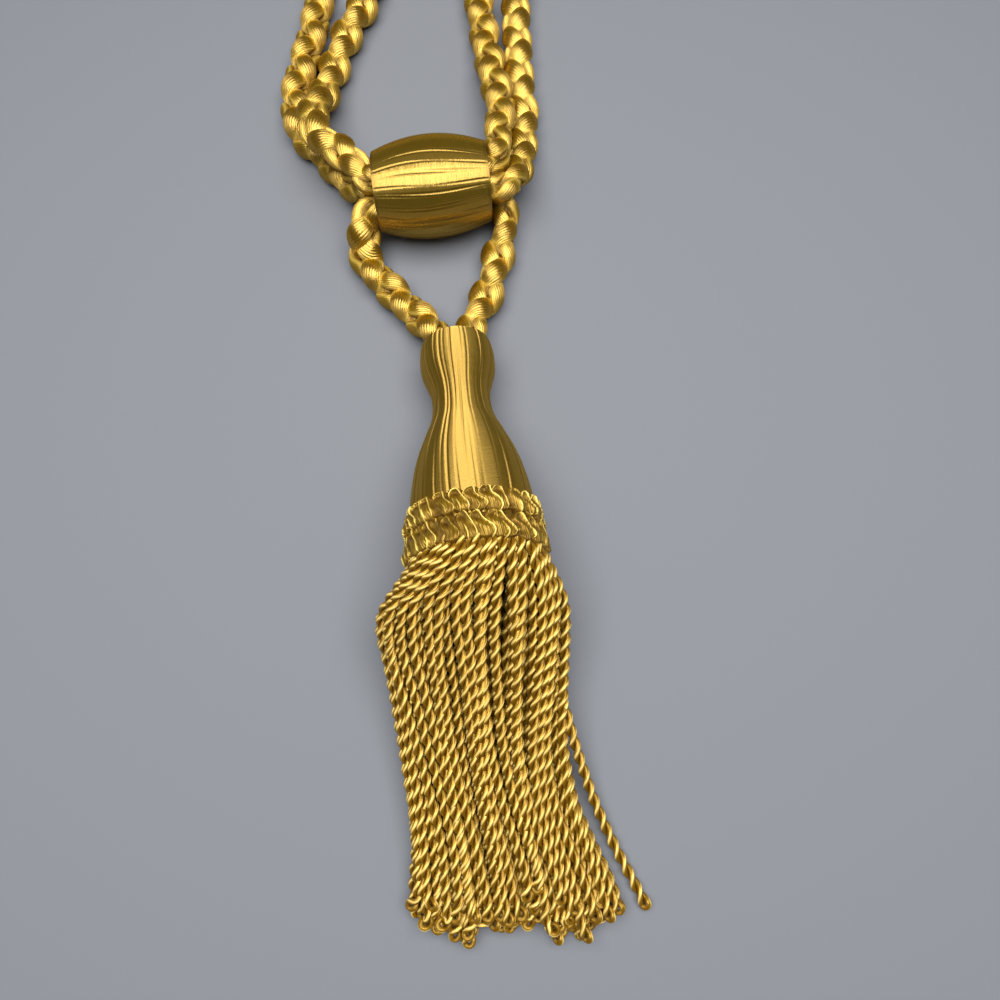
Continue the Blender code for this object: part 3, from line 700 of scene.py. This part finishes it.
# The raised edges run on from the upper row into the lower one, so each row starts where the last ended.
def makeRuff(finish):
    chance = np.random.default_rng(ruff["seed"])
    loops = ruff["loops"]
    share = np.linspace(0, 1, ruff["rings"])[:, None]
    angle = (np.arange(loops * ruff["perLoop"]) / ruff["perLoop"])[None, :]
    centres = np.arange(loops) + chance.uniform(-ruff["offCentre"], ruff["offCentre"], loops)
    for name, row in ruff["rows"].items():
        slants = chance.uniform(*ruff["slant"], loops)
        makeRuffRow(name, row, finish, share, angle, centres, slants, chance)
        centres = centres + slants


def hump(place, width):
    return np.exp(-(place / width) ** 2)


def stepUp(place, width):
    return 1 / (1 + np.exp(-place / width))


def makeRuffRow(name, row, finish, share, angle, centres, slants, chance):
    start, end, floorStart, floorEnd, arch = row
    loops = ruff["loops"]
    bodyWidth, roundAcross, roundDown = ruff["body"]
    rimWidth, rimHeight, rimMiddle = ruff["rim"]
    sideFrom, sideFade = ruff["edgeSide"]
    topTo, topFade = ruff["edgeTop"]
    foldAcross, foldWidth, foldFrom, foldFade = ruff["fold"]
    pitAcross, pitWidth, pitDown, pitHeight = ruff["pit"]
    height, line, dark = (np.zeros((ruff["rings"], angle.shape[1])) for _ in range(3))
    scallop = np.ones_like(height)
    for centre, slant in zip(centres, slants):
        swing = chance.uniform(*ruff["swing"])
        across = angle - centre - slant * share + swing * np.sin(turn * share)
        across = (across + loops / 2) % loops - loops / 2
        down = share + chance.uniform(-ruff["offRow"], ruff["offRow"])
        body = np.clip(1 - (across / bodyWidth) ** 2, 0, 1) ** roundAcross
        body = body * np.sin(math.pi * np.clip(down, 0, 1)) ** roundDown
        height = np.maximum(height, chance.uniform(*ruff["plumpShare"]) * body)
        out = np.hypot(across / rimWidth, np.minimum(down - rimMiddle, 0) / rimHeight)
        shown = np.maximum(stepUp(across - sideFrom, sideFade), arch * stepUp(topTo - down, topFade))
        rim = hump(out - 1, ruff["edgeWidth"]) * shown * (np.abs(across) < ruff["edgeReach"])
        line = np.maximum(line, chance.uniform(*ruff["edgeShare"]) * rim)
        fold = hump(across - foldAcross, foldWidth) * np.clip((down - foldFrom) / foldFade, 0, 1)
        line = np.maximum(line, chance.choice(ruff["foldShares"]) * fold)
        pit = hump(across - pitAcross, pitWidth) * hump(down - pitDown, pitHeight)
        dark = np.maximum(dark, chance.uniform(*ruff["hollowShare"]) * pit)
        scallop = np.minimum(scallop, np.abs(across) * 2)
    plain = 1 - np.clip(line, 0, 1)
    around1, down1, around2, down2 = ruff["unevenWaves"]
    uneven = np.sin(angle * around1 + share * down1) * np.sin(angle * around2 - share * down2 + start)
    perLoop, slope, bent = ruff["rippleWave"]
    ripple = np.sin(angle * turn * perLoop - share * slope + bent * uneven)
    floor = floorStart + (floorEnd - floorStart) * share
    reach = (floor + ruff["uneven"] * uneven + ruff["ripple"] * ripple * plain) * mm
    reach = reach + ruff["plump"] * height + ruff["edge"] * line - ruff["hollow"] * dark * plain
    close = np.clip(np.minimum(share, 1 - share) / ruff["closing"], 0, 1) ** 0.5
    reach = ruff["inner"] + (reach - ruff["inner"]) * close
    far = (start + (end - start) * share) * mm
    far = far + ruff["scallop"] * np.clip(scallop, 0, 1) ** 2 * (1 - 2 * share)
    theta = -angle / loops * turn
    rings = np.stack([reach * np.cos(theta), reach * np.sin(theta), far], -1)[:, ::-1]
    # painted light: pale on the raised edges, dark in the pits, in the valleys between loops and in the
    # ripple's troughs
    valley = 1 - np.clip(height, 0, 1)
    shades = ruff["shades"]
    shade = shades["pit"] * dark + shades["valley"] * valley - shades["ripple"] * ripple
    crest = shades["plain"] + shades["edge"] * np.clip(line, 0, 1) - shade * plain
    crest = crest[:, ::-1]
    rings = onSurface(fromHead(rings))
    tube = (rings, 0.0, ruff["threadShift"] * start, ruff["girth"], crest)
    piece = ringMesh(name + "_loops", [tube], finish)
    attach(piece, "root")
    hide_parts(name)
    print(name, "done")


# The bullion skirt: two-ply ropes, each a single ply that turns back on itself in a small loop

skirt = {
    "plyRadius": 0.71 * mm,
    "plyOffset": 0.67 * mm,
    "twist": 7.4 * mm,       # length in which a ply goes once around
    "ringsPerTwist": {"upper": 16, "under": 10, "middle": 12, "inner": 10, "stray": 16},
    "around": 8,
    "ropeRadius": 1.4 * mm,
    "eyeWidth": (0.95 * mm, 1.25 * mm),  # half the width of the eye at a rope's end
    "eyeLength": 2.2 * mm,
    "eyeStretch": 1.15,
    "eyeRings": 7,
    "eyeTurn": 0.7,          # how far an eye may turn from level, either way
    "girth": 4.4,            # around a ply, in the UV map's millimetres
    # so that no two ropes have the same streaks: around a ply at most, and along it for each rope and layer
    "threadShift": 9, "ropeShifts": (131.0, 17.0),
    "spacing": 0.25,         # how far a rope may start off its place, as a share of the space
    "jitter": 0.50,          # how far it wanders sideways, as a share of the space
    "lift": 0.5 * mm,
    "sideWave": (0.016, 0.030),
    "liftWave": (0.02, 0.04),
    "settling": 0.02,        # length over which the wandering grows
    "seed": 3,
    # two spots under the ruff: radius, share of the inset and of the swirl, distance from the head's top
    "roots": ((15.9 * mm, 0.55, 1.0, 64.5 * mm), (17.4 * mm, 0.8, 0.9, 69.1 * mm)),
    # the ropes between these shares of the way around turn aside as they leave the ruff
    "swirl": 0.35, "swirlFrom": 0.2, "swirlTo": 0.7,
    "swirlBack": 0.6, "swirlLength": 0.022,  # how much of it is left below the ruff, and how far down
    # along Y: where the outline starts, the first station below the ruff, and the next ones
    "outlineTop": -0.0206, "firstStation": -0.0300, "stationStep": -0.0055,
    # layer: how many ropes, how far inside the outline, how much shorter than the longest they may be
    "layers": {
        "outer": (40, 0.0 * mm, 3.0 * mm),
        "middle": (33, 2.5 * mm, 5.0 * mm),
        "inner": (24, 5.0 * mm, 4.0 * mm),
    },
    # the outer ropes above this height may be shorter, and a higher power makes fewer ropes short
    "upperFrom": 0.3, "upperShort": 10.0 * mm, "shortness": 1.3,
    "endRoom": 1.0 * mm,     # for the eye past a rope's middle line
    "endStation": -0.105,    # where a rope's place across is taken for its end
    # place across, and where the longest ropes there end
    "ends": (
        (-0.0240, -0.1010), (-0.0210, -0.1075), (-0.0193, -0.1105), (-0.0152, -0.1095), (-0.0110, -0.1130),
        (-0.0079, -0.1130), (-0.0045, -0.1085), (0.0010, -0.1100), (0.0058, -0.1095), (0.0096, -0.1070),
        (0.0140, -0.1125), (0.0163, -0.1095), (0.0206, -0.1120), (0.0238, -0.1085), (0.0290, -0.1070),
        (0.0321, -0.1030),
    ),
    # station along Y, left edge, right edge, top, lean (1 is square to the head, 0 is upright)
    "outline": (
        (-0.0206, -0.0262, 0.0152, 0.0385, 1.0), (-0.0255, -0.0312, 0.0178, 0.0368, 0.8),
        (-0.0330, -0.0334, 0.0190, 0.0328, 0.5), (-0.0415, -0.0316, 0.0189, 0.0282, 0.3),
        (-0.0520, -0.0293, 0.0185, 0.0230, 0.1), (-0.0620, -0.0275, 0.0183, 0.0190, 0.0),
        (-0.0710, -0.0260, 0.0194, 0.0163, 0.0), (-0.0800, -0.0245, 0.0216, 0.0142, 0.0),
        (-0.0900, -0.0236, 0.0262, 0.0125, 0.0), (-0.1000, -0.0242, 0.0312, 0.0106, 0.0),
        (-0.1143, -0.0225, 0.0330, 0.0078, 0.0),
    ),
    "topBow": 0.85, "bottomBow": 0.45, "outlineSteps": 120, "leastHeight": 0.25 * mm,
    # the rope that lies apart from the others
    "strayScale": 1.08, "strayShift": 50.0,
    "stray": (
        (0.0150, -0.0480, 0.0130), (0.0172, -0.0560, 0.0118), (0.0196, -0.0640, 0.0086),
        (0.0222, -0.0715, 0.0058), (0.0250, -0.0791, 0.0038), (0.0302, -0.0904, 0.0021),
        (0.0351, -0.0994, 0.0017), (0.0374, -0.1038, 0.0017),
    ),
    "look": {
        "ridges": (1.1, 0.25, 0.05), "wobble": 0.6, "streaks": (4.0, 0.35), "blotches": (0.4, 0.15),
        "streakShare": 0.6, "patchy": 0.12, "roughness": 0.36, "fuzz": 0.05, "anisotropy": 0.7,
        "grain": 0.082, "metallic": 0.1, "shine": 1.75, "grooveShade": 0.2,
        "grooveShadeColour": (0.06, 0.03, 0.001),
        # tones: a thin pale painted highlight on the plies' crests, and painted shade towards the groove
        # between them
        "tones": (
            (0.0, (0.022, 0.0070, 0.0002)), (0.4, (0.142, 0.063, 0.0008)), (0.87, (0.192, 0.098, 0.0030)),
            (0.965, (0.80, 0.57, 0.165)),
        ),
    },
}


# A place on the outline at a station: share runs once around, from the right over the top.
def outlinePlace(station, share, inset):
    rows = np.array(skirt["outline"])[::-1]
    left, right, top, lean = (np.interp(station, rows[:, 0], rows[:, k]) for k in range(1, 5))
    inset = inset + skirt["ropeRadius"]
    centre, halfWidth = (left + right) / 2, (right - left) / 2 - inset
    middle = top / 2
    halfHeight = max(middle - inset, skirt["leastHeight"])
    angle = np.linspace(0, turn, skirt["outlineSteps"] + 1)
    rise = np.sin(angle)
    bow = np.where(rise > 0, np.abs(rise) ** skirt["topBow"], -np.abs(rise) ** skirt["bottomBow"])
    x, z = halfWidth * np.cos(angle), halfHeight * bow
    far = np.concatenate([[0.0], np.cumsum(np.hypot(np.diff(x), np.diff(z)))])
    at = (share % 1.0) * far[-1]
    x, z = np.interp(at, far, x), np.interp(at, far, z)
    y = station + lean * (z * math.tan(head["rise"]) + x * math.tan(head["turned"]))
    return np.array([centre + x, y, middle + z])


# The middle of one rope, from under the ruff down to where it ends.
def ropeMiddle(share, inset, end, step, chance):
    sideStart, sideLength = chance.uniform(0, turn), chance.uniform(*skirt["sideWave"])
    liftStart, liftLength = chance.uniform(0, turn), chance.uniform(*skirt["liftWave"])
    count = skirt["layers"]["outer"][0]
    swirl = 0.0
    if skirt["swirlFrom"] < share < skirt["swirlTo"]:
        swirl = skirt["swirl"] * max(0.0, math.sin((share - skirt["swirlFrom"]) * turn))
    spots = []
    for radius, insetShare, swirlShare, far in skirt["roots"]:
        radius = radius - insetShare * inset
        aim = share * turn - swirlShare * swirl
        spots.append(fromHead([(radius * math.cos(aim), radius * math.sin(aim), far)])[0])
    for station in np.arange(skirt["firstStation"], end, skirt["stationStep"]):
        at = skirt["outlineTop"] - station
        fade = min(1.0, at / skirt["settling"])
        side = skirt["jitter"] * fade / count * math.sin(at / sideLength + sideStart)
        lift = skirt["lift"] * fade * math.sin(at / liftLength + liftStart)
        back = swirl / turn * skirt["swirlBack"] * max(0.0, 1 - at / skirt["swirlLength"])
        spots.append(outlinePlace(station, share + side - back, inset + abs(lift)))
    spots.append(outlinePlace(end, share, inset))
    line = evenLine(smoothLine(spots, perSpan=6), step)
    line[:, 2] = np.maximum(line[:, 2], skirt["ropeRadius"])
    return line


# One ply that twists down the rope, turns in the eye and twists back up, as a tube for ringMesh.
def ropeTube(line, chance, vShift, scale=1.0):
    ahead, side, up = carriedFrames(line)
    far = lengthsAlong(line)
    radius, offset = skirt["plyRadius"] * scale, skirt["plyOffset"] * scale
    twist = skirt["twist"] * scale
    lastPhase = chance.uniform(-skirt["eyeTurn"], skirt["eyeTurn"])
    phase = (far - far[-1]) / twist * turn + lastPhase
    # the eye lies roughly level: side and up give the direction of level at the rope's end
    level = math.atan2(np.dot((1, 0, 0), up[-1]), np.dot((1, 0, 0), side[-1]))
    phase = phase + level
    eye = np.clip((far - far[-1]) / skirt["eyeLength"] + 1, 0, 1)
    spread = offset + (chance.uniform(*skirt["eyeWidth"]) - offset) * eye ** 2
    out = side * np.cos(phase)[:, None] + up * np.sin(phase)[:, None]
    first = line + out * spread[:, None]
    second = (line - out * spread[:, None])[::-1]
    bend = np.linspace(0, math.pi, skirt["eyeRings"] + 2)[1:-1, None]
    eyeSpots = np.cos(bend) * out[-1] + skirt["eyeStretch"] * np.sin(bend) * ahead[-1]
    eyeSpots = line[-1] + spread[-1] * eyeSpots
    path = np.vstack([first, eyeSpots, second])
    outward = np.vstack([out, np.cos(bend) * out[-1] + np.sin(bend) * ahead[-1], -out[::-1]])
    rings = ovalRings(path, outward, radius, radius, skirt["around"])
    # painted light: the colour is palest along each ply's outer crest, a thin painted highlight, and darkest
    # on its inner side, painted shade between the plies
    crest = 0.5 + 0.5 * np.sin(np.arange(skirt["around"]) / skirt["around"] * turn)
    return onSurface(rings), chance.uniform(0, skirt["threadShift"]), vShift, skirt["girth"], crest


# The outer layer makes two pieces, the ropes above and those under the skirt's middle.
def makeSkirt(finish):
    chance = np.random.default_rng(skirt["seed"])
    perRope, perLayer = skirt["ropeShifts"]
    steps = {name: skirt["twist"] / rings for name, rings in skirt["ringsPerTwist"].items()}
    tubes = {}
    for layer, (count, inset, shorter) in skirt["layers"].items():
        for k in range(count):
            share = (k + 0.5 + chance.uniform(-skirt["spacing"], skirt["spacing"])) / count
            above = math.sin(share * turn)
            across = outlinePlace(skirt["endStation"], share, inset)[0]
            end = np.interp(across, *zip(*skirt["ends"])) + skirt["endRoom"]
            upper = layer == "outer" and above > skirt["upperFrom"]
            mostShort = skirt["upperShort"] if upper else shorter
            end += chance.uniform(0, 1) ** skirt["shortness"] * mostShort
            name = layer if layer != "outer" else ("upper" if above > 0 else "under")
            line = ropeMiddle(share, inset, end, steps[name], chance)
            ropes = tubes.setdefault(name, [])
            ropes.append(ropeTube(line, chance, perRope * k + perLayer * len(tubes)))
    for name, ropes in tubes.items():
        piece = ringMesh("skirt_" + name, ropes, finish)
        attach(piece, "root")
        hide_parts("skirt")
        print("skirt", name, "done:", len(ropes), "ropes,", len(piece.data.polygons) * 2, "triangles")
    line = evenLine(smoothLine(skirt["stray"], perSpan=8), steps["stray"])
    rope = ropeTube(line, chance, skirt["strayShift"], skirt["strayScale"])
    piece = ringMesh("skirt_stray", [rope], finish)
    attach(piece, "root")
    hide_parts("skirt")
    print("stray rope done")


addCamera()
addFloorAndLight()

makeCord(satinFinish("braidedSatin", cord["look"]))
makeBarrel(satinFinish("woundBarrel", {**woundLook, **barrel["look"]}))
makeHead(satinFinish("woundHead", {**woundLook, **head["look"]}))
makeRuff(satinFinish("loopedGimp", ruff["look"]))
makeSkirt(satinFinish("bullionRope", skirt["look"]))
